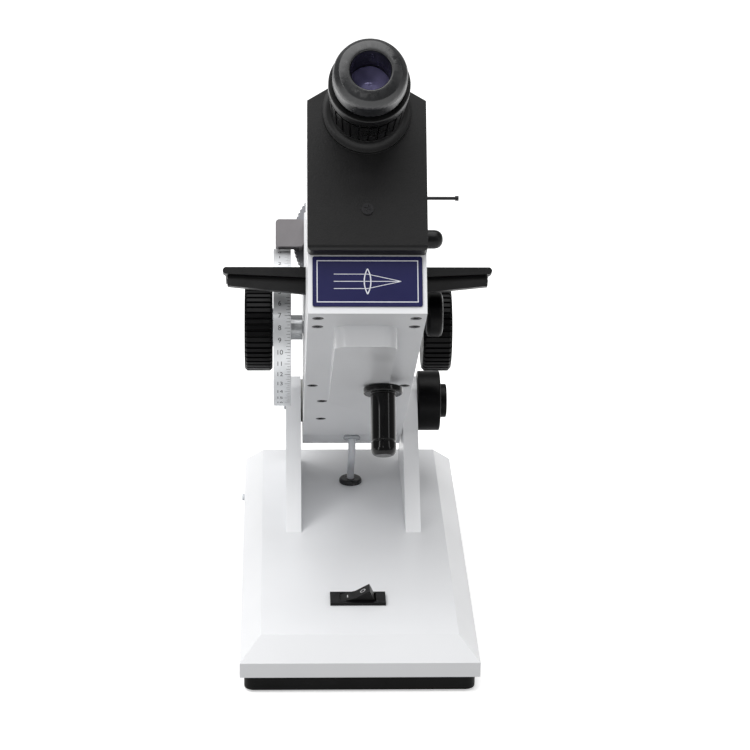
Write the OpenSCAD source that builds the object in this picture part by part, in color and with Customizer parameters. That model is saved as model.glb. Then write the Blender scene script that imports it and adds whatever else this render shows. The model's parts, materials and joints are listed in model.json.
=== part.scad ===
// Lensmeter: a bench instrument that reads the power of spectacle lenses.
// Built from the front edge of the base, Y going back and Z up, then centred under its own box.
// The optical head has its own frame: origin on the tilt axis, -y towards the eye, +z across.

/* [Base] */
// Width of the base
base_w = 140; // [130:1:160]
// Length of the base
base_l = 292; // [280:1:310]
// Height of the base's top face
base_h = 32.7; // [31:0.1:36]
// Height of the tray that the white shell sits on
tray_h = 11; // [9:0.5:12]
// Height of the shell's upright rim
rim_h = 9.2; // [8:0.1:11]
// How far the top face is set in behind the rim
top_inset = 12.2; // [8:0.1:16]
// Wall of the shell
shell_wall = 4; // [3:0.5:5]
// Wall and floor of the tray
tray_wall = 2.5; // [2:0.5:4]
// Rocker switch, distance of its centre from the front edge
switch_y = 55.9; // [45:0.1:70]
// Cable grommet, distance of its centre from the front edge
grommet_y = 227; // [215:1:235]

/* [Uprights and tilt axis] */
// Thickness of each upright plate
upright_t = 9.7; // [8:0.1:11]
// Clear width between the uprights
upright_gap = 66; // [65:0.5:68]
// Front of the uprights' foot
foot_front = 149.3; // [140:1:160]
// Back of the uprights' foot
foot_rear = 262; // [255:1:270]
// Tilt axis, distance from the front edge
pivot_y = 236; // [230:1:240]
// Tilt axis, height
pivot_z = 87; // [84:1:92]
// Radius of the uprights' round top
upright_r = 16; // [14:1:20]
// Radius of the pivot shaft
pivot_r = 5; // [4:0.5:6]

/* [Optical head] */
// Angle of the optical axis above the horizontal at rest
tilt_rest = 36; // [30:1:45]
// Width of the head
head_w = 63.6; // [62:0.2:64]
// Underside of the head, below the tilt axis
under_z = -28; // [-30:1:-26]
// Front face of the head, ahead of the tilt axis
front_y = -317; // [-320:1:-314]
// Top of the casting's spine
spine_z = 12; // [11:0.5:13]
// Optical axis, above the tilt axis
axis_z = 82; // [80:0.5:84]
// Top of the housings' side walls
shoulder_z = 88.2; // [86:0.1:90]
// Radius of the housings' arched top, round the optical axis
arch_r = 21.8; // [21:0.1:23]
// Rear end of the lamp housing
lamp_end = 40; // [36:1:46]

/* [Eyepiece] */
// Depth of the black head cover
cover_d = 10; // [8:1:12]
// Front end of the eyecup
cup_y = -390; // [-392:1:-386]
// Outer radius of the eyecup
cup_r = 19.6; // [18:0.1:21]
// Radius of the eyecup's opening
cup_open_r = 10.6; // [10:0.1:12]
// Radius of the eyepiece's flange
flange_r = 21.6; // [21:0.1:23]

/* [Power wheels and scale] */
// Power axis, along the head
power_y = -77; // [-78:0.5:-76]
// Power axis, across the head
power_z = 29; // [28:0.5:30]
// Radius of the two hand wheels
wheel_r = 27.3; // [25:0.1:28]
// Radius of the scale drum
drum_r = 49.5; // [47:0.1:50]
// Pitch radius of both pinions
pinion_r = 6; // [6:1:6]

/* [Axis wheel] */
// Middle plane of the axis wheel
axis_wheel_y = -93; // [-93.5:0.1:-92.5]
// Radius of the axis wheel
axis_wheel_r = 38.4; // [36:0.1:39]

/* [Spectacle table] */
// Width of the table
table_w = 162; // [150:1:170]
// Front edge of the table
table_front = -158; // [-162:1:-154]
// Top face of the table
table_z = 44.7; // [43:0.1:46]

/* [Hidden] */
$fn = 64;
eps = 0.01;

half_w = head_w / 2;
cos_t = cos(tilt_rest);
sin_t = sin(tilt_rest);
// Edge where the eyecup's flat face turns into its cone, behind the cup's front end
cup_edge_r = 16.6;
cup_edge_back = 1.5;
// The box's front is that edge's lowest point and its back is the lamp housing's top corner
box_front = pivot_y + (cup_y + cup_edge_back) * cos_t + (axis_z - cup_edge_r) * sin_t;
box_rear = pivot_y + lamp_end * cos_t + (axis_z + arch_r) * sin_t;
mid_y = (box_front + box_rear) / 2;
cover_front = front_y - cover_d;
bracket_front = -128;
bracket_rear = -100;
collimator_front = -86;
collimator_rear = 24;
telescope_rear = -215;
tube_r = 15;
tube_bore_r = 13;
barrel_r = 12.9;
fit = 0.05;
sleeve_r = 15.5;
sleeve_bore_r = 13;
pin_reach = 17.5;
drum_x = [-50.7, -39.8];
table_back = -131;
table_axis_y = -119.5;
table_axis_z = 26;
clamp_y = -183;
// Guide rods of the lens clamp, across and above the tilt axis
guide_left = [-17, 58];
guide_right = [17, 33];
// Screw in the housing's side that locks the right guide rod
lock_y = -253;
// Tooth pitch of a module 1 rack
rail_tooth = PI;
cable_r = 2.35;
// Route of the lamp cable in the base's frame, from the head's bush into the base
cable_route = [
    [0, 208.1, 75.1], [0, 205.2, 71.1], [0, 204.1, 67.4], [0, 204.8, 63.2], [0, 208, 58.4],
    [0, 213, 53.8], [0, 218.6, 49.6], [0, 223.5, 45.2], [0, 226.2, 40.9], [0, 227, 36.4],
    [0, 227, 31], [0, 227, 26]
];
// Route of the lamp's lead inside the head, in the head's frame
lead_route = [
    [0, -15, -22], [0, -17, -16], [0, -22, -8], [0, -25, 0], [0, -22, 10], [0, -10, 22],
    [0, 6, 36], [0, 18, 50], [0, 24, 62], [0, 27, 72]
];

// ---------- placing ----------
module in_base() { translate([0, -mid_y, 0]) children(); }
module in_head() {
    in_base() translate([0, pivot_y, pivot_z]) rotate([-tilt_rest, 0, 0]) children();
}
module box(lo, hi) { translate(lo) cube(hi - lo); }
// A cylinder along X from x0 to x1 at (y, z)
module rod_x(r, x0, x1, y, z) { translate([x0, y, z]) rotate([0, 90, 0]) cylinder(r = r, h = x1 - x0); }
// A cylinder along y from y0 to y1 at (x, z)
module rod_y(r, y0, y1, x, z) { translate([x, y1, z]) rotate([90, 0, 0]) cylinder(r = r, h = y1 - y0); }
// Turns a (radius, distance along y) outline round the line at (x, z)
module turn_y(x, z) {
    translate([x, 0, z]) rotate([-90, 0, 0]) rotate_extrude($fn = 96) children();
}
// Turns a (radius, distance along x) outline round the line at (y, z)
module turn_x(y, z) {
    translate([0, y, z]) rotate([0, 90, 0]) rotate_extrude($fn = 96) children();
}
// Pushes a (y, z) outline along X
module push_x(x0, x1) {
    translate([x0, 0, 0]) rotate([90, 0, 90]) linear_extrude(x1 - x0) children();
}
// Pushes an (x, z) outline along y
module push_y(y0, y1) {
    translate([0, y1, 0]) rotate([90, 0, 0]) linear_extrude(y1 - y0) children();
}
module round_rect(w, l, r) {
    square([w - 2 * r, l], center = true);
    square([w, l - 2 * r], center = true);
    for (sx = [-1, 1], sy = [-1, 1])
        translate([sx * (w / 2 - r), sy * (l / 2 - r)]) circle(r);
}
// Waste outside a rounded corner: at is the sharp corner, out points away from the solid
module corner_waste(at, out, r) difference() {
    translate([at[0] - (out[0] > 0 ? r : 1), at[1] - (out[1] > 0 ? r : 1)]) square(r + 1);
    translate(at - r * out) circle(r);
}
// Outline of a toothed wheel: flat-topped teeth on a root circle
function teeth(n, root, tip, land) = [
    for (i = [0 : n - 1], k = [0 : 3])
        let (a = 360 / n * i,
             half = (k == 0 || k == 3) ? 360 / n * 0.42 : 360 / n * land,
             s = k < 2 ? -1 : 1,
             r = (k == 0 || k == 3) ? root : tip)
        [r * cos(a + s * half), r * sin(a + s * half)]
];
// A tube swept along a route, with a closed cap at each end
function unit(v) = v / norm(v);
function heading(p, i) = unit(p[min(i + 1, len(p) - 1)] - p[max(i - 1, 0)]);
module swept(p, r, sides = 10) {
    side = [1, 0, 0];
    rings = [for (i = [0 : len(p) - 1], k = [0 : sides - 1])
        let (a = 360 / sides * k, up = cross(side, heading(p, i)))
        p[i] + r * (cos(a) * side + sin(a) * up)];
    walls = [for (i = [0 : len(p) - 2], k = [0 : sides - 1])
        let (k2 = (k + 1) % sides)
        [i * sides + k, i * sides + k2, (i + 1) * sides + k2, (i + 1) * sides + k]];
    first = [for (k = [sides - 1 : -1 : 0]) k];
    last = [for (k = [0 : sides - 1]) (len(p) - 1) * sides + k];
    polyhedron(rings, concat(walls, [first, last]), convexity = 4);
}
// A lens bounded by two equal spheres, on the optical axis
module lens(r, thick, y) {
    sag = thick / 2 - 0.8;
    ball = (r * r + sag * sag) / (2 * sag);
    translate([0, y, axis_z]) rotate([90, 0, 0]) intersection() {
        translate([0, 0, ball - thick / 2]) sphere(ball, $fn = 128);
        translate([0, 0, thick / 2 - ball]) sphere(ball, $fn = 128);
        cylinder(r = r, h = thick, center = true);
    }
}

// ---------- base ----------
module base_tray() color("#1b1b1c") in_base() {
    w = base_w - 5;
    l = base_l - 5;
    foot = 1.5;
    difference() {
        translate([0, base_l / 2, foot]) linear_extrude(tray_h - foot) round_rect(w, l, 6);
        translate([0, base_l / 2, foot + tray_wall]) linear_extrude(tray_h)
            round_rect(w - 2 * tray_wall, l - 2 * tray_wall, 4);
        for (x = foot_x, y = foot_y) translate([x, y, 0]) cylinder(r = 3, h = 6);
        inlet_hole();
    }
}
foot_x = [-52, 52];
foot_y = [20, base_l - 20];
module rubber_feet() color("#101010") in_base() {
    for (x = foot_x, y = foot_y) translate([x, y, 0]) {
        cylinder(r1 = 8.2, r2 = 9, h = 1.5);
        cylinder(r = 3, h = 4.2);
        translate([0, 0, 4]) cylinder(r = 4.5, h = 1.6);
    }
}
module shell_form(inset, z0) {
    hx = base_w / 2 - inset;
    z1 = tray_h + rim_h;
    z2 = base_h - inset * 0.9;
    c = top_inset;
    intersection() {
        push_y(inset, base_l - inset)
            polygon([[-hx, z0], [hx, z0], [hx, z1], [hx - c, z2], [c - hx, z2], [-hx, z1]]);
        push_x(-base_w, base_w)
            polygon([[inset, z0], [base_l - inset, z0], [base_l - inset, z1],
                     [base_l - inset - c, z2], [inset + c, z2], [inset, z1]]);
    }
}
upright_mid = upright_gap / 2 + upright_t / 2;
// Fuse holder's body: radius, and its place in the shell's left side
fuse_r = 1.6;
fuse_y = 236;
fuse_z = 17.2;
screw_y = [178, 242];
module base_shell() color("#f1f2f4") in_base() difference() {
    shell_form(0, tray_h);
    shell_form(shell_wall, tray_h - 1);
    translate([0, switch_y, base_h]) cube([30.4, 13, 20], center = true);
    translate([0, grommet_y, base_h - 8]) cylinder(r = 5, h = 12);
    for (s = [-1, 1], y = screw_y)
        translate([s * upright_mid, y, base_h - 8]) cylinder(r = 2.75, h = 12);
    inlet_hole();
    rod_x(fuse_r, -base_w / 2 - 1, -base_w / 2 + 6, fuse_y, fuse_z);
}
inlet_w = 25;
inlet_z = [5.5, 18];
module inlet_hole() {
    box([-inlet_w / 2, base_l - 20, inlet_z[0]], [inlet_w / 2, base_l + 1, inlet_z[1]]);
}
// Plate below the round top: both edges end a little inside it
module upright_outline() {
    inner_r = upright_r - 0.3;
    to_top = [pivot_y - foot_front, pivot_z - base_h];
    lean = atan2(to_top[1], to_top[0]) + asin(inner_r / norm(to_top));
    touch = [pivot_y - inner_r * sin(lean), pivot_z + inner_r * cos(lean)];
    polygon([[foot_front, base_h], touch, [pivot_y + inner_r, pivot_z], [foot_rear, base_h]]);
}
module upright(s) {
    x0 = s > 0 ? upright_gap / 2 : -upright_gap / 2 - upright_t;
    difference() {
        union() {
            push_x(x0, x0 + upright_t) upright_outline();
            rod_x(upright_r, x0, x0 + upright_t, pivot_y, pivot_z);
        }
        rod_x(pivot_r, x0 - 1, x0 + upright_t + 1, pivot_y, pivot_z);
        for (y = screw_y)
            translate([s * upright_mid, y, base_h - eps]) cylinder(r = 2.5, h = 13);
    }
}
module left_upright() color("#f1f2f4") in_base() upright(-1);
module right_upright() color("#f1f2f4") in_base() upright(1);
module upright_screws() color("#8c8f94") in_base() {
    for (s = [-1, 1], y = screw_y) translate([s * upright_mid, y, 0]) {
        translate([0, 0, base_h - 7.1]) cylinder(r = 4.5, h = 3);
        translate([0, 0, base_h - 5]) cylinder(r = 2.5, h = 17);
    }
}
module switch_housing() color("#141415") in_base() difference() {
    union() {
        box([-16.6, switch_y - 7.5, base_h], [16.6, switch_y + 7.5, base_h + 1.8]);
        box([-15, switch_y - 6.3, base_h - 16], [15, switch_y + 6.3, base_h + 1]);
    }
    box([-10.8, switch_y - 5.4, base_h - 14], [10.8, switch_y + 5.4, base_h + 3]);
    // Sockets of the rocker's pivot
    rod_y(rocker_pin_r + fit, switch_y - 6.25, switch_y + 6.25, 0, rocker_z);
}
// Rocker pressed down at its left end, turning about the line y = switch_y
rocker_tilt = 22;
rocker_z = base_h + 0.3;
rocker_pin_r = 1;
module switch_rocker() color("#161617") in_base() {
    translate([0, switch_y, rocker_z]) rotate([0, -rocker_tilt, 0]) push_y(-5, 5)
        polygon([[-9.4, 4.9], [0, 3.7], [9.4, 4.9], [9.9, -2], [4, -5], [-4, -5], [-9.9, -2]]);
    rod_y(rocker_pin_r, switch_y - 6.1, switch_y + 6.1, 0, rocker_z);
}
module power_transformer() color("#5b4a3a") in_base() {
    box([-24, 95, 4], [24, 140, 26]);
    box([-18, 88, 7], [18, 147, 23]);
}
module power_inlet() color("#151515") in_base() difference() {
    union() {
        box([-inlet_w / 2, base_l - 16, inlet_z[0]], [inlet_w / 2, base_l - 0.5, inlet_z[1]]);
        box([-inlet_w / 2 + 2, base_l - 20, 8], [inlet_w / 2 - 2, base_l - 16 + eps, 16]);
    }
    for (x = [-4.3, 4.3]) rod_y(4.2, base_l - 13, base_l, x, 11.75);
    box([-4.3, base_l - 13, 7.55], [4.3, base_l, 15.95]);
}
module fuse_holder() color("#dfe2e4") in_base() {
    rod_x(fuse_r + 0.6, -base_w / 2 - 1.6, -base_w / 2, fuse_y, fuse_z);
    rod_x(fuse_r, -base_w / 2 - eps, -base_w / 2 + 14, fuse_y, fuse_z);
}
module cable_grommet() color("#121212") in_base() translate([0, grommet_y, 0]) difference() {
    union() {
        translate([0, 0, base_h]) rotate_extrude() difference() {
            union() {
                square([7.4, 1.4]);
                translate([0, 1.4]) square([5.8, 1.6]);
                translate([5.8, 1.4]) circle(1.6);
            }
            translate([-9, -9]) square([20, 9]);
            translate([-9, -9]) square([9, 20]);
        }
        translate([0, 0, base_h - 5.4]) cylinder(r = 5, h = 6);
        translate([0, 0, base_h - 5.6]) cylinder(r = 6.5, h = 1.6);
    }
    translate([0, 0, base_h - 8]) cylinder(r = cable_r + 0.1, h = 16);
}
module pivot_shaft() color("#9a9ea3") in_base() {
    rod_x(pivot_r, -upright_gap / 2 - upright_t, 56, pivot_y, pivot_z);
    rod_x(6, -upright_gap / 2 - upright_t - 1.4, -upright_gap / 2 - upright_t, pivot_y, pivot_z);
}
module lamp_cable() color("#e4e6e8") in_base() swept(cable_route, cable_r);

// ---------- pivot knob ----------
module pivot_knob() color("#171718") in_base() turn_x(pivot_y, pivot_z) polygon([
    [pivot_r + fit, 43.3], [19, 43.3], [19.6, 43.9], [19.6, 57.4], [19, 58], [11, 58],
    [11, 62], [10.5, 62.5], [0, 62.5], [0, 57.5], [pivot_r + fit, 57.5]]);

// ---------- head: castings and covers ----------
module spine_outline() {
    union() {
        translate([front_y, under_z + 2.4]) square([-front_y, spine_z - under_z - 2.4]);
        intersection() {
            circle(-under_z);
            translate([-22, under_z - 1]) square([60, spine_z - under_z + 1]);
        }
    }
}
module main_casting() color("#f1f2f4") in_head() difference() {
    push_x(-half_w, half_w) spine_outline();
    // Hollow, open at the underside, with a boss for each screw
    difference() {
        box([-27.8, front_y + 4, under_z - 2], [27.8, -24, spine_z - 4]);
        for (p = under_screws) translate([p[0], p[1], under_z + 2.4]) cylinder(r = 4.2, h = 40);
    }
    // Tilt bore
    rod_x(9, -half_w - 1, half_w + 1, 0, 0);
    // Way for the lamp's lead
    box([-4, -30, under_z - 2], [4, -10.5, spine_z + 1]);
    // Opening that the table's rack drops into
    box([-6.8, -131.6, spine_z - 9], [6.8, -123, spine_z + 1]);
    for (p = under_screws) translate([p[0], p[1], under_z]) cylinder(r = 1.6, h = 16);
}
// The underside screws: across the head, along the head
under_screws = [
    for (s = [-1, 1], y = [-307, -290]) [s * 26.3, y],
    for (s = [-1, 1]) [s * 27.3, -155.5],
    for (s = [-1, 1], y = [-115.6, -68]) [s * 21, y]
];
module bottom_cover() color("#eceef0") in_head() difference() {
    union() {
        box([-half_w, front_y, under_z], [half_w, -22, under_z + 2.4]);
        // Raised rib that is deepest at the front and dies out towards the tilt axis
        intersection() {
            push_x(-17, 17) polygon([[-293, under_z + 1], [-293, under_z - 12], [-112, under_z],
                                     [-112, under_z + 1]]);
            translate([0, 0, under_z - 20]) linear_extrude(22) {
                translate([-17, -285]) square([34, 200]);
                translate([-9, -293]) square([18, 20]);
                for (s = [-1, 1]) translate([s * 9, -285]) circle(8);
            }
        }
    }
    for (p = under_screws) translate([p[0], p[1], under_z - 1]) cylinder(r = 1.7, h = 9);
    for (p = under_screws) translate([p[0], p[1], under_z - 1]) cylinder(r = 3.2, h = 2.4);
}
cover_screw_z = 27;
// Lower edge of the black cover
cover_foot_z = 4.4;
module housing_screws() color("#2a2b2d") in_head() {
    for (p = under_screws) translate([p[0], p[1], 0]) {
        difference() {
            translate([0, 0, under_z + 0.2]) cylinder(r = 3.1, h = 1.2);
            for (a = [0, 90]) translate([0, 0, under_z]) rotate([0, 0, a + p[1]])
                cube([3.8, 0.9, 1.6], center = true);
        }
        translate([0, 0, under_z + 1.4]) cylinder(r = 1.6, h = 12);
    }
    difference() {
        union() {
            rod_y(3.2, cover_front - 0.8, cover_front, 0, cover_screw_z);
            rod_y(1.5, cover_front - eps, front_y, 0, cover_screw_z);
        }
        // Cross recess
        for (a = [0, 90]) translate([0, cover_front - 0.8, cover_screw_z]) rotate([0, a + 20, 0])
            cube([3.8, 1, 0.9], center = true);
    }
}
// Outline of the head above the spine: upright sides, then slopes that run into the arch
module head_outline(inset, z0) {
    hx = half_w - inset;
    r = arch_r - inset;
    // The slope from the shoulder touches the arch at this angle from the vertical
    rise = shoulder_z - axis_z;
    reach = norm([half_w, rise]);
    tilt = atan2(half_w, rise) - acos(arch_r / reach);
    shoulder = shoulder_z - inset * tan(45 - tilt / 2);
    polygon([[-hx, z0], [hx, z0], [hx, shoulder], [r * sin(tilt), axis_z + r * cos(tilt)],
             [-r * sin(tilt), axis_z + r * cos(tilt)], [-hx, shoulder]]);
    translate([0, axis_z]) circle(r);
}
module telescope_housing() color("#f1f2f4") in_head() difference() {
    push_y(front_y, telescope_rear) head_outline(0, spine_z);
    push_y(front_y - 1, telescope_rear - 4) head_outline(4, spine_z + 4);
    rod_y(tube_r, -230, telescope_rear + 1, 0, axis_z);
    // Running bores of the lens clamp's two guides, and the lock screw's bore
    for (g = [guide_left, guide_right]) rod_y(2.5 + fit, -230, telescope_rear + 1, g[0], g[1]);
    rod_x(2.5 + fit, half_w - 6, half_w + 1, lock_y, guide_right[1]);
}
module head_cover() color("#1d1d1e") in_head() difference() {
    union() {
        push_y(cover_front, front_y) head_outline(-0.3, cover_foot_z);
        // Flared root of the eyepiece
        turn_y(0, axis_z) difference() {
            translate([0, cover_front - 7.5]) square([24, 8]);
            translate([24.6, cover_front - 7.5]) circle(5);
        }
    }
    push_y(cover_front + 2.5, front_y + 1) intersection() {
        head_outline(2.6, spine_z);
        translate([-100, spine_z]) square([200, 200]);
    }
    rod_y(tube_r + 0.1, cover_front - 9, front_y, 0, axis_z);
    rod_y(1.5, cover_front - 1, front_y, 0, cover_screw_z);
    // Rounded foot: its front edge and its two lower corners
    push_x(-head_w, head_w) corner_waste([cover_front, cover_foot_z], [-1, -1], 3);
    for (s = [-1, 1]) push_y(cover_front - 1, front_y + 1)
        corner_waste([s * (half_w + 0.3), cover_foot_z], [s, -1], 2.5);
}
module name_plate() color("#1b2a66") in_head()
    push_y(front_y - 0.8, front_y) translate([0, -10.35]) round_rect(58.8, 27.8, 1.2);
module nose_bracket() color("#f1f2f4") in_head() difference() {
    push_y(bracket_front, bracket_rear) head_outline(0, spine_z);
    // Hollow between the front and rear walls, open at the foot
    box([-27.8, bracket_front + 4, spine_z - 1], [27.8, bracket_rear - 4, 62]);
    rod_y(tube_r, bracket_front - 1, bracket_rear + 1, 0, axis_z);
    // Slot for the table's rack in the front wall
    box([-6.3, bracket_front - 1, spine_z - 1], [6.3, bracket_front + 5, 60]);
    // Way for the focusing rack in the rear wall
    box([-5.4, bracket_rear - 5, 33], [5.4, bracket_rear + 1, 43]);
    rod_x(3 + fit, 20, half_w + 1, table_axis_y, table_axis_z);
}
module collimator_housing() color("#f1f2f4") in_head() difference() {
    push_y(collimator_front, collimator_rear) head_outline(0, spine_z);
    push_y(collimator_front + 4, -14) head_outline(4, spine_z + 4);
    push_y(-4, collimator_rear + 1) head_outline(4, spine_z + 4);
    // Wall between the target and the lamp: the condenser's seat and the lead's way through
    rod_y(14, -15, -3, 0, axis_z);
    box([-4, -15, spine_z + 4], [4, -3, 46]);
    box([-4, -24, spine_z - 1], [4, -10.5, spine_z + 5]);
    // Bearing of the rotating sleeve, and the way for the focusing rack
    rod_y(sleeve_r + fit, collimator_front - 1, collimator_front + 5, 0, axis_z);
    box([-5.4, collimator_front - 1, 33], [5.4, collimator_front + 5, 43]);
    // Pocket that the focusing pinion turns in
    box([-5.4, collimator_front + 1.5, 21.5], [5.4, collimator_front + 5, 34]);
    rod_x(4 + fit, -half_w - 1, half_w + 1, power_y, power_z);
}
hood_left = -49.4;
hood_y = [-110, -100.5];
module index_hood() color("#6f7073") in_head() difference() {
    push_y(hood_y[0], hood_y[1]) translate([(hood_left - half_w) / 2, 81])
        round_rect(-half_w - hood_left, 17.8, 2.4);
    // Hollow over the scale, and clearance round the drum
    box([hood_left + 2, hood_y[0] + 2, 60], [-half_w - 3, hood_y[1] - 2, 87]);
    rod_x(drum_r + 0.8, hood_left - 1, -half_w - 3, power_y, power_z);
}
module lamp_housing() color("#1b1b1c") in_head() difference() {
    push_y(collimator_rear, lamp_end) head_outline(0, 50);
    push_y(collimator_rear - 1, lamp_end - 3) head_outline(3, 53);
    for (i = [-3 : 3]) box([i * 7 - 1.5, lamp_end - 4, 62], [i * 7 + 1.5, lamp_end + 1, 86]);
}
module lamp_holder() color("#d9d4c6") in_head() difference() {
    union() {
        rod_y(9, 22, 34, 0, axis_z);
        // Two feet that stand on the housing's back
        for (x = [-12, 12]) box([x - 4, 34 - eps, 76], [x + 4, 37, 88]);
        box([-16, 32, 76], [16, 34, 88]);
    }
    rod_y(5, 21, 30, 0, axis_z);
}
module lamp() color("#fbf3d8") in_head() {
    translate([0, 12, axis_z]) sphere(8);
    rod_y(5, 12, 30, 0, axis_z);
}
module lamp_lead() color("#e4e6e8") in_head() swept(lead_route, 1.6, 8);
module condenser_lens() color("#cfe6f5") in_head() lens(14, 7, -9);
module collimator_lens() color("#cfe6f5") in_head() lens(15, 6, -116);
module objective_lens() color("#cfe6f5") in_head() lens(13, 6, -217);
module lens_stop() color("#26272a") in_head() turn_y(0, axis_z) polygon([
    [12, -128], [12, -122], [15, -122], [15, -128], [19, -128], [19, -130.5], [12, -131.5],
    [6, -140], [4, -140], [4, -137], [9, -129]]);
module telescope_tube() color("#1a1a1b") in_head() difference() {
    rod_y(tube_r, -356, -211, 0, axis_z);
    rod_y(tube_bore_r, -357, -210, 0, axis_z);
}
module reticle_disc() color("#dfeef5") in_head() rod_y(tube_bore_r, -301, -299.5, 0, axis_z);
module pivot_bushes() color("#d8d8d2") in_head() {
    for (s = [-1, 1]) difference() {
        union() {
            rod_x(9, s > 0 ? 14 : -half_w, s > 0 ? half_w : -14, 0, 0);
            // Friction washer against the upright
            rod_x(14, s > 0 ? half_w : -half_w - 1.1, s > 0 ? half_w + 1.1 : -half_w, 0, 0);
        }
        rod_x(pivot_r + fit, -50, 50, 0, 0);
    }
}
handle_x = 14;
handle_y = -170;
module tilt_handle() color("#0f0f10") in_head() {
    // The grip's foot lies on the rib, which slopes under it
    top = under_z - 4.7;
    translate([handle_x, handle_y, top]) rotate([180, 0, 0]) rotate_extrude() polygon([
        [0, 0], [11.1, 0], [11.6, 0.6], [11.6, 3.4], [11, 4], [7.4, 4], [7.4, 32],
        [6.9, 32.3], [6.9, 33], [7.4, 33.3], [7.4, 37], [7, 39], [6.2, 40.3], [5, 41], [0, 41]]);
    difference() {
        translate([handle_x, handle_y, top]) cylinder(r = 8.5, h = 6);
        push_x(-20, 40) polygon([[-293, under_z + 2], [-293, under_z - 12], [-112, under_z],
                                 [-112, under_z + 10], [-293, under_z + 10]]);
        box([-20, -293, under_z], [40, -60, under_z + 20]);
    }
}
module cable_bush() color("#e9eaec") in_head() translate([0, -15.6, 0]) difference() {
    rotate_extrude() polygon([[0, -29.6], [5.2, -29.6], [5.6, -29], [5.4, -28.3], [4, -26.4],
                              [4, -20], [0, -20]]);
    translate([0, 0, -40]) cylinder(r = cable_r + 0.1, h = 40);
}

// ---------- eyepiece ----------
module eyecup() color("#151516") in_head() turn_y(0, axis_z) translate([0, cup_y]) polygon([
    [cup_open_r, 20], [cup_open_r, 0.8], [11.2, 0], [12.2, 0], [cup_edge_r, cup_edge_back],
    [18.8, 4.2], [cup_r, 7.2], [cup_r, 16], [19.2, 17.8], [18, 18.4], [18, 20]]);
module eyepiece_barrel() color("#1a1a1b") in_head() difference() {
    union() {
        rod_y(barrel_r, -370, -318, 0, axis_z);
        turn_y(0, axis_z) polygon([[0, -370], [21.2, -370], [flange_r, -369.2], [flange_r, -363],
                                   [21.2, -362], [0, -362]]);
    }
    rod_y(11, -371, -317, 0, axis_z);
}
module eye_lenses() color("#8f86d8") in_head() {
    lens(11, 6, -365.5);
    lens(11, 5, -322);
}
module diopter_ring() color("#171718") in_head() difference() {
    union() {
        turn_y(0, axis_z) polygon([[0, -359.6], [20.2, -359.6], [19, -336.5], [0, -336.5]]);
        translate([0, -336.5, axis_z]) rotate([90, 0, 0]) intersection() {
            linear_extrude(23.1) polygon(teeth(26, 18.9, 21.2, 0.36));
            cylinder(r1 = 19.9, r2 = 21.2, h = 23.1, $fn = 96);
        }
    }
    rod_y(tube_r + fit, -360, -336, 0, axis_z);
}

// ---------- power wheels, drum and focusing ----------
module hand_wheel(x0, x1, face) {
    // Ridged rim, with a shallow dish in its outer face
    difference() {
        intersection() {
            push_x(x0, x1) translate([power_y, power_z])
                polygon(teeth(46, wheel_r - 1.3, wheel_r, 0.3));
            turn_x(power_y, power_z) polygon([
                [0, x0], [wheel_r - 1.6, x0], [wheel_r, x0 + 1.6], [wheel_r, x1 - 1.6],
                [wheel_r - 1.6, x1], [0, x1]]);
        }
        rod_x(21, face < 0 ? x0 - 1 : x1 - 2.5, face < 0 ? x0 + 2.5 : x1 + 1, power_y, power_z);
        rod_x(4, face < 0 ? x0 + 5 : x0 - 1, face < 0 ? x1 + 1 : x1 - 5, power_y, power_z);
    }
}
module left_wheel() color("#161617") in_head() hand_wheel(-68.6, -51.2, -1);
module right_wheel() color("#161617") in_head() hand_wheel(42.5, 60.5, 1);
module scale_drum() color("#d7dadd") in_head() difference() {
    union() {
        rod_x(drum_r, drum_x[0], drum_x[1], power_y, power_z);
        rod_x(7.8, drum_x[1] - eps, -half_w - 0.6, power_y, power_z);
    }
    rod_x(drum_r - 2, drum_x[0] - 1, drum_x[1] - 1.8, power_y, power_z);
    rod_x(4, -60, -20, power_y, power_z);
}
module power_shaft() color("#9a9ea3") in_head() {
    rod_x(4, -63.6, 55.5, power_y, power_z);
    // Collar that the drum's web is clamped to
    rod_x(12, -51.2, drum_x[1] - 1.8, power_y, power_z);
}
module focus_pinion() color("#b08d3c") in_head() difference() {
    push_x(-4, 4) translate([power_y, power_z])
        polygon(teeth(12, pinion_r - 0.9, pinion_r + 0.6, 0.13));
    rod_x(4, -5, 5, power_y, power_z);
}
// Outline of a rack's teeth on the line v = 0, pointing to -v, a gap at u = 0
module rack_teeth(from, to) {
    for (i = [from : to]) translate([i * rail_tooth + rail_tooth / 2, 0])
        polygon([[-0.95, 0.8], [-0.45, -0.55], [0.45, -0.55], [0.95, 0.8]]);
}
module focus_rack() color("#a9adb2") in_head() {
    push_x(-4.5, 4.5) {
        translate([power_y, power_z + pinion_r]) rack_teeth(-6, 6);
        translate([-98, power_z + pinion_r + 0.7]) square([52, 5.2]);
        translate([-55, power_z + pinion_r + 5.8]) square([6, 19]);
    }
    // Open yoke whose groove takes the target's pins at any angle
    difference() {
        turn_y(0, axis_z) polygon([[16, -55], [24, -55], [24, -49], [16, -49], [16, -50.4],
                                   [17.8, -50.4], [17.8, -53.6], [16, -53.6]]);
        box([-30, -60, axis_z + 3], [30, -40, axis_z + 30]);
    }
}
module axis_wheel() color("#8e9196") in_head() difference() {
    union() {
        translate([0, axis_wheel_y + 4, axis_z]) rotate([90, 0, 0]) linear_extrude(8)
            polygon(teeth(90, axis_wheel_r - 1, axis_wheel_r, 0.24));
        rod_y(sleeve_r, -97, -20, 0, axis_z);
    }
    rod_y(sleeve_bore_r, -98, -19, 0, axis_z);
    // Slots that the target's two pins slide in
    box([-1.6, -74, axis_z - 30], [1.6, -30, axis_z + 30]);
}
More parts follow.
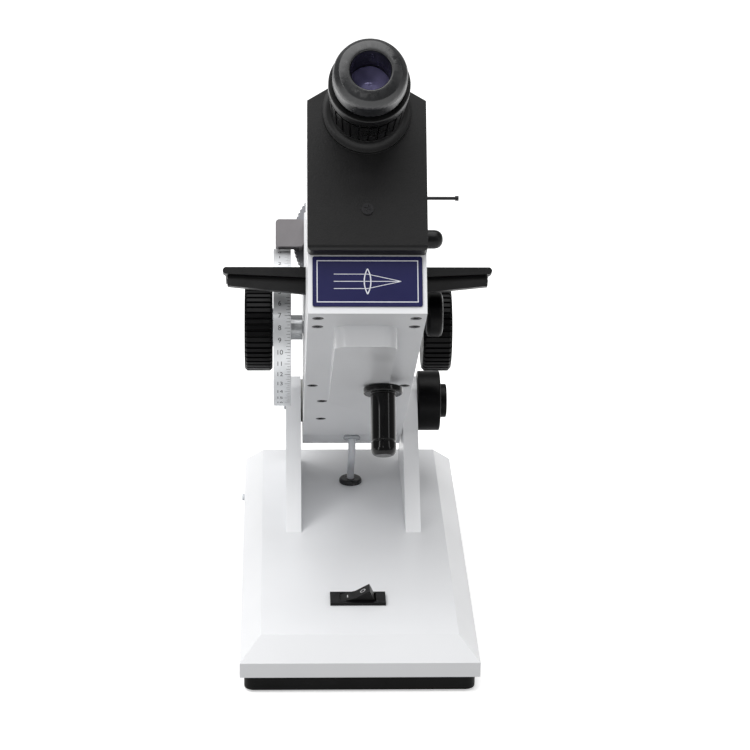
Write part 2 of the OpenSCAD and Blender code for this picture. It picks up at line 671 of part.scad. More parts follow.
module target_cell() color("#55585c") in_head() difference() {
    union() {
        rod_y(sleeve_bore_r - fit, -55, -49, 0, axis_z);
        translate([0, -52, axis_z - pin_reach]) cylinder(r = 1.5, h = 2 * pin_reach);
    }
    rod_y(9, -56, -48, 0, axis_z);
}
module target_disc() color("#9fd8a0") in_head() rod_y(9, -53, -51, 0, axis_z);

// ---------- spectacle table ----------
module frame_table() color("#1a1a1b") in_head() {
    hx = table_w / 2;
    // Front band, a little deeper in the middle
    push_y(table_front, table_front + 5) polygon([
        [-hx, 42.6], [0.4 - hx, 43.8], [1.6 - hx, table_z], [hx - 1.6, table_z],
        [hx - 0.4, 43.8], [hx, 42.6], [hx - 0.4, 41.2], [hx - 1.8, 40.4],
        [31.5, 38.2], [-31.5, 38.2], [1.8 - hx, 40.4], [0.4 - hx, 41.2]]);
    // Lower rib, set back behind a groove and deepest in the middle
    push_y(table_front + 1.5, table_front + 5) polygon([
        [2.6 - hx, 37.6], [-31.5, 34], [31.5, 34], [hx - 2.6, 37.6],
        [hx - 3, 33.4], [31.5, 28.6], [-31.5, 28.6], [3 - hx, 33.4]]);
    push_y(table_front + 3.5, table_front + 5) polygon([
        [2.6 - hx, 42], [hx - 2.6, 42], [hx - 3.4, 34], [31.5, 29.4], [-31.5, 29.4], [3.4 - hx, 34]]);
    // Shelf and its two end walls and ribs
    box([1.6 - hx, table_front + 3, table_z - 3], [hx - 1.6, table_back, table_z]);
    for (x = [2.4 - hx, -31.5, 28.5, hx - 5.4])
        box([x, table_front + 3, table_z - 4.4], [x + 3, table_back, table_z - 2]);
    // Block that the rack is screwed to
    box([-12, table_front + 3, 30], [12, table_back, table_z - 2]);
}
module table_rack() color("#a9adb2") in_head() {
    box([-6, table_back, spine_z], [6, table_axis_y - pinion_r - 0.7, table_z]);
    translate([0, table_axis_y - pinion_r, table_axis_z]) push_x(-5, 5)
        rotate(90) rack_teeth(-5, 5);
}
module table_knob() color("#2b2c2e") in_head() difference() {
    turn_x(table_axis_y, table_axis_z) polygon([
        [0, 43], [11.4, 43], [13.4, 43.9], [14, 45.5], [14, 50.5], [13.4, 52.1], [11.4, 53], [0, 53]]);
    rod_x(3, 42, 49, table_axis_y, table_axis_z);
}
module table_shaft() color("#9a9ea3") in_head() {
    rod_x(3, -8, 49, table_axis_y, table_axis_z);
    push_x(-4.5, 4.5) translate([table_axis_y, table_axis_z])
        polygon(teeth(12, pinion_r - 0.9, pinion_r + 0.6, 0.13));
}

// ---------- lens clamp ----------
module clamp_plate() color("#202122") in_head() difference() {
    union() {
        rod_y(21, clamp_y - 3, clamp_y + 3, 0, axis_z);
        // Arms down to the two guide rods
        push_y(clamp_y - 3, clamp_y + 3) {
            polygon([[-21, 54], [-13, 54], [-6, 66], [-19, 74]]);
            polygon([[12, 28.5], [21.5, 28.5], [21.5, 54], [19, 74], [6, 66], [12, 54]]);
        }
    }
    rod_y(11, clamp_y - 4, clamp_y + 4, 0, axis_z);
    for (g = [guide_left, guide_right]) rod_y(2.5, clamp_y - 4, clamp_y + 4, g[0], g[1]);
    rod_x(1, 19, 26, clamp_y, 80);
}
module clamp_pins() color("#3a3b3d") in_head() {
    for (a = [30, 150, 270]) {
        x = 16 * cos(a);
        z = axis_z + 16 * sin(a);
        rod_y(2, clamp_y + 3, -156, x, z);
        translate([x, -156, z]) sphere(2);
    }
}
module clamp_rod() color("#a9adb2") in_head() {
    rod_y(2.5, -245, clamp_y + 3, guide_left[0], guide_left[1]);
    rod_y(2.5, -275, clamp_y + 3, guide_right[0], guide_right[1]);
}
module clamp_knob() color("#151516") in_head() turn_x(lock_y, guide_right[1]) polygon([
    [0, 19.9], [2.5, 19.9], [2.5, 32.2], [4.9, 32.2], [5.3, 32.7], [5.3, 40.2], [5, 42],
    [4.1, 43.5], [2.7, 44.5], [1.2, 44.9], [0, 44.9]]);
module release_rod() color("#27282a") in_head() {
    rod_x(1, 19, 57.5, clamp_y, 80);
    rod_x(1.5, 57.5, 59.5, clamp_y, 80);
}

base_tray();
rubber_feet();
base_shell();
left_upright();
right_upright();
upright_screws();
switch_housing();
power_transformer();
power_inlet();
fuse_holder();
cable_grommet();
pivot_shaft();
lamp_cable();
switch_rocker();
pivot_knob();
main_casting();
bottom_cover();
housing_screws();
telescope_housing();
head_cover();
name_plate();
collimator_housing();
nose_bracket();
index_hood();
lamp_housing();
lamp_holder();
lamp();
lamp_lead();
condenser_lens();
collimator_lens();
lens_stop();
telescope_tube();
objective_lens();
reticle_disc();
pivot_bushes();
tilt_handle();
cable_bush();
eyecup();
eyepiece_barrel();
eye_lenses();
diopter_ring();
left_wheel();
right_wheel();
scale_drum();
power_shaft();
focus_pinion();
focus_rack();
axis_wheel();
target_cell();
target_disc();
frame_table();
table_rack();
table_knob();
table_shaft();
clamp_plate();
clamp_pins();
clamp_rod();
clamp_knob();
release_rod();
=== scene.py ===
import json
import math

import bpy
from mathutils import Matrix, Vector


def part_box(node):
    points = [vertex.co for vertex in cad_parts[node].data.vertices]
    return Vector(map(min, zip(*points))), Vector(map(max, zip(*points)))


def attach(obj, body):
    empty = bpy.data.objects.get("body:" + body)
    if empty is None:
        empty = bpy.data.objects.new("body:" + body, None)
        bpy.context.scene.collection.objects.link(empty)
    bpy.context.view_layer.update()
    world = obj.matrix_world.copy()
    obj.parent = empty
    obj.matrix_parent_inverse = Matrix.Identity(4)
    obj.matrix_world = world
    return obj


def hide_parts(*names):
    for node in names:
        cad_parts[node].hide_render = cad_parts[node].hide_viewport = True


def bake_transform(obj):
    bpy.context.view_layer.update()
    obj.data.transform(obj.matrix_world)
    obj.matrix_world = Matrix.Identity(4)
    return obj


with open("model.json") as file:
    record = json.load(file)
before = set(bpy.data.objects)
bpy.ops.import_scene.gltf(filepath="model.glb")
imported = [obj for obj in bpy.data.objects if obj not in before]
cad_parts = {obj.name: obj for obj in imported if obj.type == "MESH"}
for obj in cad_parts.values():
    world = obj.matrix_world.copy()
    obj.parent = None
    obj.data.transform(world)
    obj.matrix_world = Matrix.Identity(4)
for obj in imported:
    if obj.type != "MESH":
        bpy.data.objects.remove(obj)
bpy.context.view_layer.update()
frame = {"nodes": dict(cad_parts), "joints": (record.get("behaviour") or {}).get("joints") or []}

NODES = frame["nodes"]
JOINTS = {joint["name"]: joint for joint in frame["joints"]}
MM = 0.001

# ---------- the frame's own places ----------
# The head's frame: origin on the tilt axis, +X across, +y along the optical axis away from the eye.
PIVOT = Vector(JOINTS["head_tilt"]["pos_m"])
ALONG = Vector(JOINTS["eyepiece_focus"]["axis"]).normalized()
ACROSS = Vector((1, 0, 0))
UP = ACROSS.cross(ALONG)
HEAD = Matrix((ACROSS, ALONG, UP)).transposed().to_4x4()
HEAD.translation = PIVOT
BASE_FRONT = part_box("base_shell")[0].y


def head_box(node):
    """Lowest and highest corners of a CAD node in the head's frame, in metres."""
    to_head = HEAD.inverted()
    points = [to_head @ v.co for v in NODES[node].data.vertices]
    low = Vector(min(p[i] for p in points) for i in range(3))
    high = Vector(max(p[i] for p in points) for i in range(3))
    return low, high


# ---------- materials ----------
def srgb(red, green, blue):
    """Linear colour of an 8-bit screen colour."""
    def linear(value):
        value /= 255
        return value / 12.92 if value <= 0.04045 else ((value + 0.055) / 1.055) ** 2.4
    return (linear(red), linear(green), linear(blue), 1.0)


class Surface:
    """A Principled material built up node by node, in the object's own coordinates."""

    def __init__(self, name, colour, roughness, **sockets):
        self.material = bpy.data.materials.new(name)
        self.material.use_nodes = True
        self.tree = self.material.node_tree
        self.shader = self.tree.nodes["Principled BSDF"]
        self.place = self.add("ShaderNodeTexCoord").outputs["Object"]
        self.colour = colour
        self.shader.inputs["Base Color"].default_value = colour
        self.shader.inputs["Roughness"].default_value = roughness
        self.roughness = roughness
        self.height = None
        for socket, value in sockets.items():
            self.shader.inputs[socket.replace("_", " ")].default_value = value

    def add(self, kind, **settings):
        node = self.tree.nodes.new(kind)
        for key, value in settings.items():
            setattr(node, key, value)
        return node

    def link(self, source, target):
        self.tree.links.new(source, target)

    def noise(self, size, detail=3.0, stretch=None):
        """Noise whose grain is about `size` metres, drawn out along the axes of `stretch`."""
        node = self.add("ShaderNodeTexNoise")
        node.inputs["Scale"].default_value = 1 / size
        node.inputs["Detail"].default_value = detail
        source = self.place
        if stretch:
            mapping = self.add("ShaderNodeMapping")
            mapping.inputs["Scale"].default_value = stretch
            self.link(source, mapping.inputs["Vector"])
            source = mapping.outputs["Vector"]
        self.link(source, node.inputs["Vector"])
        return node.outputs["Fac"]

    def remap(self, source, low, high, near=0.3, far=0.7):
        node = self.add("ShaderNodeMapRange")
        node.inputs["From Min"].default_value = near
        node.inputs["From Max"].default_value = far
        node.inputs["To Min"].default_value = low
        node.inputs["To Max"].default_value = high
        self.link(source, node.inputs["Value"])
        return node.outputs["Result"]

    def mottle(self, size, amount, detail=3.0, stretch=None):
        """Lets the colour drift between a darker and a lighter tone."""
        ramp = self.add("ShaderNodeValToRGB")
        dark, light = ramp.color_ramp.elements
        dark.position, light.position = 0.3, 0.7
        dark.color = tuple(c * (1 - amount) for c in self.colour[:3]) + (1.0,)
        light.color = tuple(min(1.0, c * (1 + amount)) for c in self.colour[:3]) + (1.0,)
        self.link(self.noise(size, detail, stretch), ramp.inputs["Fac"])
        self.link(ramp.outputs["Color"], self.shader.inputs["Base Color"])
        return self

    def smudge(self, size, amount, detail=4.0, stretch=None):
        """Lets the roughness drift, as handling and dust do."""
        low = max(0.02, self.roughness - amount)
        rough = self.remap(self.noise(size, detail, stretch), low, self.roughness + amount)
        self.link(rough, self.shader.inputs["Roughness"])
        return self

    def relief(self, source, depth, strength=1.0):
        """Adds a bump of `depth` metres on top of the ones before."""
        bump = self.add("ShaderNodeBump")
        bump.inputs["Distance"].default_value = depth
        bump.inputs["Strength"].default_value = strength
        self.link(source, bump.inputs["Height"])
        if self.height:
            self.link(self.height, bump.inputs["Normal"])
        self.height = bump.outputs["Normal"]
        self.link(self.height, self.shader.inputs["Normal"])
        return self

    def grain(self, size, depth, detail=2.0, stretch=None, strength=1.0):
        return self.relief(self.noise(size, detail, stretch), depth, strength)

    def pebbles(self, size, depth, strength=1.0):
        """Rounded pebbles, as in wrinkle paint."""
        cells = self.add("ShaderNodeTexVoronoi", feature="SMOOTH_F1")
        cells.inputs["Scale"].default_value = 1 / size
        cells.inputs["Smoothness"].default_value = 0.7
        self.link(self.place, cells.inputs["Vector"])
        return self.relief(self.remap(cells.outputs["Distance"], 1, 0, 0, 0.7), depth, strength)


def white_paint():
    paint = Surface("white_paint", srgb(235, 236, 238), 0.34, Coat_Weight=0.25, Coat_Roughness=0.2)
    return paint.mottle(0.05, 0.012).smudge(0.03, 0.05).grain(0.0012, 0.00004, strength=0.35)


def wrinkle_paint():
    paint = Surface("cover_black", srgb(10, 10, 11), 0.42, Specular_IOR_Level=0.3)
    return paint.mottle(0.02, 0.12).smudge(0.01, 0.06).pebbles(0.0007, 0.00006, 0.5)


def black_paint():
    paint = Surface("black_metal", srgb(9, 9, 10), 0.3, Specular_IOR_Level=0.22)
    return paint.mottle(0.015, 0.1).smudge(0.01, 0.06).grain(0.0006, 0.00005, strength=0.4)


def black_gloss():
    paint = Surface("black_gloss", srgb(4, 4, 5), 0.09, Specular_IOR_Level=0.22)
    return paint.mottle(0.02, 0.1).smudge(0.012, 0.04).grain(0.004, 0.00003, strength=0.2)


def black_plastic():
    plastic = Surface("black_plastic", srgb(10, 10, 11), 0.34, Specular_IOR_Level=0.22)
    return plastic.mottle(0.01, 0.1).smudge(0.008, 0.06).grain(0.0004, 0.00003, strength=0.35)


def housing_black():
    plastic = Surface("housing_black", srgb(20, 20, 21), 0.46, Specular_IOR_Level=0.3)
    return plastic.mottle(0.02, 0.1).smudge(0.012, 0.06).grain(0.0006, 0.00005, strength=0.4)


def tray_plastic():
    plastic = Surface("tray", srgb(8, 8, 8), 0.5, Specular_IOR_Level=0.1)
    return plastic.mottle(0.03, 0.12).smudge(0.02, 0.07).grain(0.0007, 0.00006, strength=0.4)


def knob_plastic():
    plastic = Surface("knob_gray", srgb(7, 7, 8), 0.34, Specular_IOR_Level=0.1)
    return plastic.mottle(0.01, 0.1).smudge(0.008, 0.06).grain(0.0005, 0.00004, strength=0.35)


def foot_rubber():
    rubber = Surface("rubber", srgb(22, 22, 22), 0.8)
    return rubber.mottle(0.01, 0.15).smudge(0.006, 0.06).grain(0.0006, 0.00006, strength=0.6)


def eye_rubber():
    rubber = Surface("black_rubber", srgb(14, 15, 18), 0.3, Specular_IOR_Level=0.6)
    return rubber.mottle(0.01, 0.12).smudge(0.006, 0.07).grain(0.0005, 0.00004, strength=0.4)


def hood_gray():
    plastic = Surface("hood_gray", srgb(120, 117, 119), 0.5, Specular_IOR_Level=0.35)
    return plastic.mottle(0.01, 0.05).smudge(0.008, 0.06).grain(0.0005, 0.00005, strength=0.4)


def plate_navy():
    enamel = Surface("plate_navy", srgb(14, 15, 72), 0.34, Specular_IOR_Level=0.3)
    return enamel.mottle(0.02, 0.05).smudge(0.01, 0.03).grain(0.001, 0.00001, strength=0.15)


def drum_silver():
    metal = Surface("drum_silver", srgb(214, 216, 218), 0.34, Metallic=0.55)
    metal.mottle(0.01, 0.05).smudge(0.006, 0.06)
    return metal.grain(0.0004, 0.00003, stretch=(6, 1, 1), strength=0.3)


def wheel_metal():
    metal = Surface("wheel_metal", srgb(118, 119, 123), 0.4, Metallic=0.8)
    return metal.mottle(0.01, 0.06).smudge(0.006, 0.07).grain(0.0004, 0.00003, strength=0.3)


def nylon():
    plastic = Surface("nylon", srgb(214, 213, 205), 0.45, Subsurface_Weight=0.05)
    return plastic.mottle(0.01, 0.03).smudge(0.006, 0.06).grain(0.0006, 0.00003, strength=0.3)


def steel():
    metal = Surface("steel", srgb(186, 188, 192), 0.28, Metallic=1.0)
    return metal.mottle(0.006, 0.06).smudge(0.004, 0.08).grain(0.0004, 0.00003, strength=0.3)


def brass():
    metal = Surface("brass", srgb(196, 160, 92), 0.3, Metallic=1.0)
    return metal.mottle(0.006, 0.08).smudge(0.004, 0.08).grain(0.0004, 0.00003, strength=0.3)


def screw_black():
    metal = Surface("screw_black", srgb(30, 30, 32), 0.4, Metallic=0.5)
    return metal.mottle(0.003, 0.15).smudge(0.002, 0.08).grain(0.0003, 0.00003, strength=0.4)


def transformer():
    metal = Surface("transformer", srgb(130, 104, 76), 0.55, Metallic=0.3)
    laminations = (1, 1, 12)
    metal.mottle(0.01, 0.15, stretch=laminations).smudge(0.01, 0.08)
    return metal.grain(0.001, 0.0002, stretch=laminations)


def cable_sheath():
    vinyl = Surface("cable_sheath", srgb(204, 206, 211), 0.4, Subsurface_Weight=0.05)
    return vinyl.mottle(0.01, 0.02).smudge(0.005, 0.05).grain(0.001, 0.00003, strength=0.3)


def ceramic():
    clay = Surface("ceramic", srgb(226, 220, 204), 0.6)
    return clay.mottle(0.006, 0.05).smudge(0.004, 0.08).grain(0.0008, 0.00006, strength=0.5)


def clear_plastic():
    plastic = Surface("clear_plastic", srgb(226, 230, 234), 0.22, Transmission_Weight=0.5, IOR=1.49)
    return plastic.mottle(0.004, 0.03).smudge(0.003, 0.05).grain(0.001, 0.00003, strength=0.3)


def glass(name, colour, roughness, transmission, **sockets):
    pane = Surface(name, colour, roughness, Transmission_Weight=transmission, IOR=1.52, **sockets)
    return pane.mottle(0.01, 0.02).smudge(0.006, 0.01)


def coated_glass():
    """Eyepiece lens with a violet anti-reflection coating, its colour mottled into painted reflections."""
    pane = Surface("coated_glass", srgb(164, 158, 226), 0.03, Transmission_Weight=0.15, IOR=1.52,
                   Specular_Tint=srgb(176, 170, 255), Specular_IOR_Level=0.9,
                   Coat_Weight=0.8, Coat_Roughness=0.02)
    # Painted reflections: the coarse, strong mottle lays dark violet and light blue patches into the lens's
    # colour.
    return pane.mottle(0.011, 0.55, detail=1.0).smudge(0.006, 0.01)


MATERIALS = {
    "tray": tray_plastic, "rubber": foot_rubber, "white_paint": white_paint, "steel": steel,
    "black_plastic": black_plastic, "transformer": transformer, "clear_plastic": clear_plastic,
    "cable_sheath": cable_sheath, "cover_black": wrinkle_paint, "plate_navy": plate_navy,
    "hood_gray": hood_gray, "housing_black": housing_black, "ceramic": ceramic,
    "lamp_glass": lambda: glass("lamp_glass", srgb(255, 250, 236), 0.08, 0.8),
    "optical_glass": lambda: glass("optical_glass", srgb(228, 242, 250), 0.02, 0.95),
    "coated_glass": coated_glass,
    "reticle_glass": lambda: glass("reticle_glass", srgb(232, 242, 244), 0.02, 0.95),
    "target_glass": lambda: glass("target_glass", srgb(120, 220, 140), 0.04, 0.8),
    "black_metal": black_paint, "black_gloss": black_gloss, "black_rubber": eye_rubber,
    "brass": brass, "drum_silver": drum_silver, "screw_black": screw_black,
    "knob_gray": knob_plastic, "wheel_metal": wheel_metal, "nylon": nylon,
}


def ink(name, colour):
    """Printing ink: a thin matt film, a little worn."""
    film = Surface(name, colour, 0.5)
    return film.mottle(0.003, 0.06).smudge(0.002, 0.08).grain(0.0005, 0.00001, strength=0.2)


def dress_nodes():
    """Gives each CAD node the material of its slot, and returns the materials by slot."""
    made = {slot: build().material for slot, build in MATERIALS.items()}
    for node in NODES.values():
        for holder in node.material_slots:
            slot = holder.material.name.split(".")[0]
            holder.link = "OBJECT"
            holder.material = made[slot]
    return made


# ---------- edges ----------
# Width in millimetres of the rounded edge that each CAD node gets
EDGES = {
    "base_shell": 1.2, "base_tray": 1.0, "left_upright": 0.8, "right_upright": 0.8,
    "switch_housing": 0.5, "switch_rocker": 0.5, "pivot_knob": 0.4, "cable_grommet": 0.2,
    "main_casting": 0.7, "bottom_cover": 0.5, "telescope_housing": 0.8, "nose_bracket": 0.8,
    "collimator_housing": 0.8, "head_cover": 0.8, "lamp_housing": 0.8, "index_hood": 0.6,
    "name_plate": 0.2, "frame_table": 0.5, "clamp_plate": 0.5, "left_wheel": 0.3,
    "right_wheel": 0.3, "axis_wheel": 0.25, "eyepiece_barrel": 0.3,
    "scale_drum": 0.3, "pivot_shaft": 0.4, "fuse_holder": 0.4, "eyecup": 0.4,
    "table_knob": 0.4, "clamp_knob": 0.3, "tilt_handle": 0.5, "cable_bush": 0.2,
}
EDGE_ANGLE = math.radians(28)
FLAT_ANGLE = math.radians(0.5)
WELD_GAP = 0.01 * MM


def joined_faces():
    """Node group that joins a node's faces along their edges and drops the normals they came with."""
    group = bpy.data.node_groups.new("joined_faces", "GeometryNodeTree")
    group.interface.new_socket("Geometry", in_out="INPUT", socket_type="NodeSocketGeometry")
    group.interface.new_socket("Geometry", in_out="OUTPUT", socket_type="NodeSocketGeometry")
    merge = group.nodes.new("GeometryNodeMergeByDistance")
    merge.inputs["Distance"].default_value = WELD_GAP
    plain = group.nodes.new("GeometryNodeRemoveAttribute")
    plain.inputs["Name"].default_value = "custom_normal"
    smooth = group.nodes.new("GeometryNodeSetShadeSmooth")
    chain = [group.nodes.new("NodeGroupInput"), merge, plain, smooth, group.nodes.new("NodeGroupOutput")]
    for left, right in zip(chain, chain[1:]):
        group.links.new(left.outputs[0], right.inputs[0])
    return group


def soften(node, width, group):
    """Rounds a node's sharp edges with modifiers, which leave its mesh alone."""
    node.modifiers.new("join", "NODES").node_group = group
    flat = node.modifiers.new("flat", "DECIMATE")
    flat.decimate_type = "DISSOLVE"
    flat.angle_limit = FLAT_ANGLE
    bevel = node.modifiers.new("edges", "BEVEL")
    bevel.width = width * MM
    bevel.segments = 2
    bevel.limit_method = "ANGLE"
    bevel.angle_limit = EDGE_ANGLE
    bevel.use_clamp_overlap = True
    shade = node.modifiers.new("shade", "WEIGHTED_NORMAL")
    shade.mode = "FACE_AREA"
    shade.weight = 100


# ---------- printed marks ----------
# A shape is its flat points and its faces; a place turns a flat point into a point on the object.
INK_LIFT = 0.04 * MM


def ribbon(points, width, closed=False):
    """Flat strip of the given width along a line of flat points."""
    count = len(points)
    sides = []
    for i, point in enumerate(points):
        before = points[i - 1] if closed or i else point
        after = points[(i + 1) % count] if closed or i < count - 1 else point
        runs = [(b - a).normalized() for a, b in ((before, point), (point, after)) if a != b]
        normals = [Vector((-run.y, run.x)) for run in runs]
        middle = sum(normals, Vector((0, 0))).normalized()
        reach = width / 2 / max(0.3, middle.dot(normals[0]))
        sides += [point + middle * reach, point - middle * reach]
    last = count if closed else count - 1
    faces = [(2 * i, 2 * i + 1, (2 * i + 3) % (2 * count), (2 * i + 2) % (2 * count)) for i in range(last)]
    return sides, faces


def arc(centre, radius, start, end, steps=24):
    """Flat points on an arc, its angles in degrees."""
    turns = [math.radians(start + (end - start) * i / steps) for i in range(steps + 1)]
    return [Vector((centre[0] + radius * math.cos(a), centre[1] + radius * math.sin(a))) for a in turns]


def figure(text, size):
    """Flat shape of a printed number, centred on its own origin."""
    data = bpy.data.curves.new("figure", "FONT")
    data.body = text
    data.size = size
    data.align_x = "CENTER"
    data.align_y = "CENTER"
    word = bpy.data.objects.new("figure", data)
    bpy.context.scene.collection.objects.link(word)
    mesh = bpy.data.meshes.new_from_object(word.evaluated_get(bpy.context.evaluated_depsgraph_get()))
    shape = [v.co.xy for v in mesh.vertices], [tuple(face.vertices) for face in mesh.polygons]
    bpy.data.objects.remove(word)
    return shape


def shifted(shape, across, up):
    points, faces = shape
    return [point + Vector((across, up)) for point in points], faces


def stamp(name, shapes, place, material, body):
    """Prints shapes on the object as one thin piece that rides on a body."""
    points, faces = [], []
    for flat, sides in shapes:
        faces += [tuple(len(points) + i for i in side) for side in sides]
        points += [place(point) for point in flat]
    mesh = bpy.data.meshes.new(name)
    mesh.from_pydata(points, [], faces)
    mesh.materials.append(material)
    piece = bpy.data.objects.new(name, mesh)
    bpy.context.scene.collection.objects.link(piece)
    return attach(piece, body)


# Scale of the power drum: turn per dioptre, and the zero's place above straight ahead
DIOPTRE = math.radians(8.8)
ZERO_AT = math.radians(54.8)
SCALE_END = 16
FIGURE_SIZE = 4.3 * MM
TICKS = {1: 3.4 * MM, 0.5: 2.5 * MM, 0.25: 1.8 * MM}
TICK_WIDTH = 0.22 * MM
# How far in from the drum's left edge the figures' middles and the ticks' right ends stand
FIGURES_IN = 3.9 * MM
TICKS_IN = 10.4 * MM


def print_drum():
    """Dioptre figures and ticks round the drum, plus in black and minus in red."""
    low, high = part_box("scale_drum")
    axis = Vector(JOINTS["power_turn"]["pos_m"])
    radius = (high.y - low.y) / 2 + INK_LIFT
    figures_x = low.x + FIGURES_IN
    ticks_x = low.x + TICKS_IN

    def on_drum(point):
        turn = point.y / radius
        out = UP * math.sin(turn) - ALONG * math.cos(turn)
        return Vector((point.x, axis.y, axis.z)) + out * radius

    def height(value):
        return radius * (ZERO_AT - value * DIOPTRE)

    for name, values, colour in (("plus", range(SCALE_END + 1), srgb(24, 24, 26)),
                                 ("minus", range(-SCALE_END, 0), srgb(150, 26, 30))):
        figures = [shifted(figure(str(abs(v)), FIGURE_SIZE), figures_x, height(v)) for v in values]
        stamp(f"drum_{name}_figures", figures, on_drum, ink(f"ink_{name}", colour).material,
              "power_drive")
    ticks = []
    for quarter in range(-4 * SCALE_END, 4 * SCALE_END + 1):
        value = quarter / 4
        size = next(step for step in TICKS if value % step == 0)
        ends = [Vector((ticks_x - TICKS[size], height(value))), Vector((ticks_x, height(value)))]
        ticks.append(ribbon(ends, TICK_WIDTH))
    stamp("drum_ticks", ticks, on_drum, ink("ink_ticks", srgb(52, 52, 56)).material,
          "power_drive")


# Name plate: its border, the lens's two arcs and the rays that meet behind it
BORDER_IN = 2.5 * MM
BORDER_WIDTH = 0.5 * MM
LENS_RADIUS = 15 * MM
LENS_OPENING = 28
LENS_WIDTH = 0.6 * MM
RAY_REACH = 18 * MM
RAY_OFFSET = 4 * MM
RAY_WIDTH = 0.35 * MM


def print_plate():
    """White border of the name plate, and a plain lens outline in the middle of it."""
    low, high = head_box("name_plate")
    half = Vector((high.x - low.x, high.z - low.z)) / 2
    middle = Vector((low.x + high.x, low.z + high.z)) / 2
    corner = half - Vector((BORDER_IN, BORDER_IN))
    border = [Vector((sx * corner.x, sz * corner.y)) for sx, sz in ((-1, -1), (1, -1), (1, 1), (-1, 1))]
    # Two arcs of one circle meet at the lens's ends
    offset = LENS_RADIUS * math.cos(math.radians(LENS_OPENING))
    lens = [arc((-offset, 0), LENS_RADIUS, -LENS_OPENING, LENS_OPENING),
            arc((offset, 0), LENS_RADIUS, 180 - LENS_OPENING, 180 + LENS_OPENING)]
    meeting = Vector((RAY_REACH, 0))
    rays = [[Vector((-RAY_REACH, z)), Vector((0, z)), meeting] for z in (-RAY_OFFSET, RAY_OFFSET)]
    rays.append([Vector((-RAY_REACH, 0)), meeting])
    shapes = [ribbon(border, BORDER_WIDTH, closed=True)]
    shapes += [ribbon(line, LENS_WIDTH) for line in lens] + [ribbon(line, RAY_WIDTH) for line in rays]

    def on_plate(point):
        return HEAD @ Vector((middle.x + point.x, low.y - INK_LIFT, middle.y + point.y))

    stamp("plate_print", shapes, on_plate, ink("ink_white", srgb(226, 228, 236)).material,
          "optical_head")


# Rocker: angle of its halves, and its top's places from the pivot, as the CAD has them
ROCKER_TILT = math.radians(22)
ROCKER_END = Vector((9.4, 4.9)) * MM
ROCKER_DIP = Vector((0, 3.7)) * MM
# Where along a half its mark stands, and the marks' sizes
MARK_AT = 0.52
BAR_HALF = 1.6 * MM
BAR_WIDTH = 0.5 * MM
RING_RADIUS = 1.5 * MM
RING_WIDTH = 0.45 * MM


def print_rocker():
    """Bar and ring on the two halves of the rocker's top."""
    pivot = Vector(JOINTS["power_switch_rock"]["pos_m"])

    def on_half(side):
        run = Vector((side * ROCKER_END.x, ROCKER_END.y)) - ROCKER_DIP
        size = run.length
        run = run.normalized()
        rise = Vector((-run.y, run.x)) * side

        def place(point):
            flat = ROCKER_DIP + run * (size * MARK_AT + side * point.x) + rise * INK_LIFT
            x = flat.x * math.cos(ROCKER_TILT) - flat.y * math.sin(ROCKER_TILT)
            z = flat.x * math.sin(ROCKER_TILT) + flat.y * math.cos(ROCKER_TILT)
            return pivot + Vector((x, point.y, z))
        return place

    white = ink("ink_symbol", srgb(214, 214, 216)).material
    bar = [Vector((0, -BAR_HALF)), Vector((0, BAR_HALF))]
    stamp("rocker_bar", [ribbon(bar, BAR_WIDTH)], on_half(-1), white, "rocker")
    # One step short of a full turn, because the ribbon closes itself
    ring = arc((0, 0), RING_RADIUS, 0, 345)
    stamp("rocker_ring", [ribbon(ring, RING_WIDTH, closed=True)], on_half(1), white, "rocker")


# ---------- lamp cable ----------
CABLE_DIAMETER = 4.7 * MM
# From the head's bush down into the base: back from the base's front edge, and up, in millimetres
CABLE_ROUTE = [
    (208.1, 75.1), (205.2, 71.1), (204.1, 67.4), (204.8, 63.2), (208, 58.4), (213, 53.8),
    (218.6, 49.6), (223.5, 45.2), (226.2, 40.9), (227, 36.4), (227, 31), (227, 26),
]


def lay_cable(material):
    """Smooth cable along the CAD's route, which bends between the base and the head."""
    points = [Vector((0, BASE_FRONT + y * MM, z * MM)) for y, z in CABLE_ROUTE]
    data = bpy.data.curves.new("cable", "CURVE")
    data.dimensions = "3D"
    data.bevel_depth = CABLE_DIAMETER / 2
    data.bevel_resolution = 6
    data.resolution_u = 8
    data.use_fill_caps = True
    line = data.splines.new("BEZIER")
    line.bezier_points.add(len(points) - 1)
    for knot, point in zip(line.bezier_points, points):
        knot.co = point
        knot.handle_left_type = knot.handle_right_type = "AUTO"
    curve = bpy.data.objects.new("cable", data)
    bpy.context.scene.collection.objects.link(curve)
    mesh = bpy.data.meshes.new_from_object(curve.evaluated_get(bpy.context.evaluated_depsgraph_get()))
    bpy.data.objects.remove(curve)
    mesh.materials.clear()
    mesh.materials.append(material)
    mesh.shade_smooth()
    cable = bpy.data.objects.new("smooth_cable", mesh)
    bpy.context.scene.collection.objects.link(cable)
    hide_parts("lamp_cable")
    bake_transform(cable)


# ---------- camera, light and floor ----------
# Camera place from the middle of the base's front edge, in metres, and its angles in degrees
CAMERA_FROM_FRONT = Vector((-0.0471, -1.2868, 0.7214))
CAMERA_YAW = 2.357
CAMERA_PITCH = 22.019
CAMERA_ROLL = 0.9
LENS = 120.6
FLOOR_HALF = 6.0


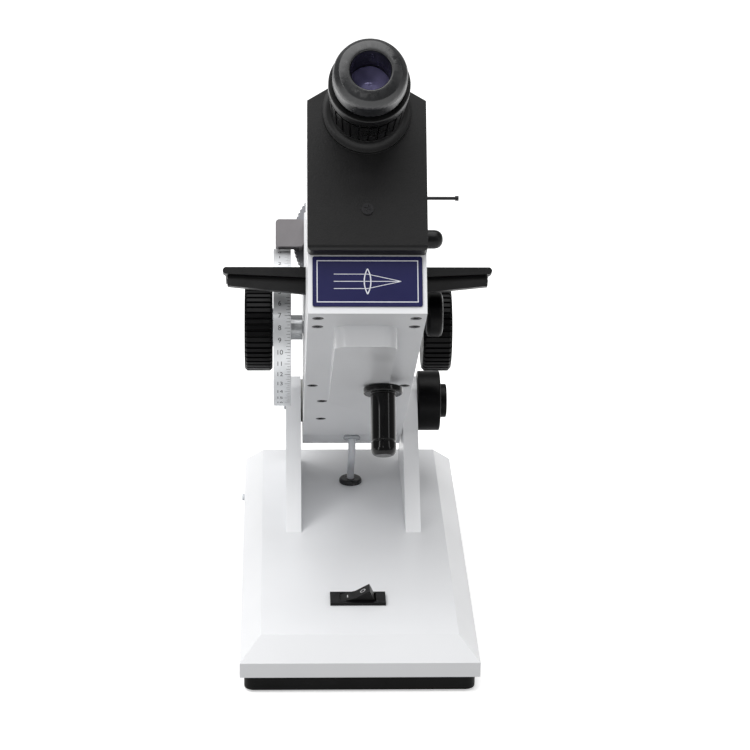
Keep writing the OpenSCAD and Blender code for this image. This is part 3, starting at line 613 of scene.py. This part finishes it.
def place_camera():
    yaw, pitch, roll = (math.radians(a) for a in (CAMERA_YAW, CAMERA_PITCH, CAMERA_ROLL))
    ahead = Vector((math.sin(yaw) * math.cos(pitch), math.cos(yaw) * math.cos(pitch), -math.sin(pitch)))
    right = Vector((math.cos(yaw), -math.sin(yaw), 0))
    up = right.cross(ahead)
    right, up = (right * math.cos(roll) + up * math.sin(roll),
                 up * math.cos(roll) - right * math.sin(roll))
    pose = Matrix((right, up, -ahead)).transposed().to_4x4()
    pose.translation = Vector((0, BASE_FRONT, 0)) + CAMERA_FROM_FRONT
    data = bpy.data.cameras.new("camera")
    data.lens = LENS
    data.clip_end = 50
    camera = bpy.data.objects.new("camera", data)
    camera.matrix_world = pose
    bpy.context.scene.collection.objects.link(camera)
    bpy.context.scene.camera = camera


def softbox(name, place, aim, size, power):
    data = bpy.data.lights.new(name, "AREA")
    data.shape = "RECTANGLE"
    data.size, data.size_y = size
    data.energy = power
    lamp = bpy.data.objects.new(name, data)
    lamp.location = place
    lamp.rotation_euler = (Vector(aim) - Vector(place)).to_track_quat("-Z", "Y").to_euler()
    bpy.context.scene.collection.objects.link(lamp)


def light_studio():
    world = bpy.data.worlds.new("studio")
    world.use_nodes = True
    sky = world.node_tree.nodes["Background"]
    sky.inputs["Color"].default_value = (1, 1, 1, 1)
    sky.inputs["Strength"].default_value = 0.36
    bpy.context.scene.world = world
    middle = (0, 0, 0.2)
    softbox("key", (-0.35, 0.0, 1.7), middle, (2.0, 2.0), 37)
    softbox("left", (-1.3, -1.1, 0.9), middle, (0.25, 1.2), 5)
    softbox("right", (1.3, -0.8, 1.0), middle, (0.2, 1.2), 2.5)
    softbox("front", (-0.15, -1.1, 1.0), middle, (0.1, 0.1), 0.5)


def lay_floor():
    mesh = bpy.data.meshes.new("floor")
    h = FLOOR_HALF
    mesh.from_pydata([(-h, -h, 0), (h, -h, 0), (h, h, 0), (-h, h, 0)], [], [(0, 1, 2, 3)])
    floor = bpy.data.objects.new("floor", mesh)
    bpy.context.scene.collection.objects.link(floor)
    sweep = Surface("floor", (0.93, 0.93, 0.93, 1), 0.9, Emission_Color=(1, 1, 1, 1), Emission_Strength=0.45)
    mesh.materials.append(sweep.mottle(0.5, 0.01).smudge(0.3, 0.03).material)
    # The floor lights nothing, so the object's underside stays in soft shade
    floor.visible_diffuse = False


made = dress_nodes()
group = joined_faces()
for name, width in EDGES.items():
    soften(NODES[name], width, group)
print_drum()
print_plate()
print_rocker()
lay_cable(made["cable_sheath"])
place_camera()
light_studio()
lay_floor()
bpy.context.scene.view_settings.view_transform = "Standard"
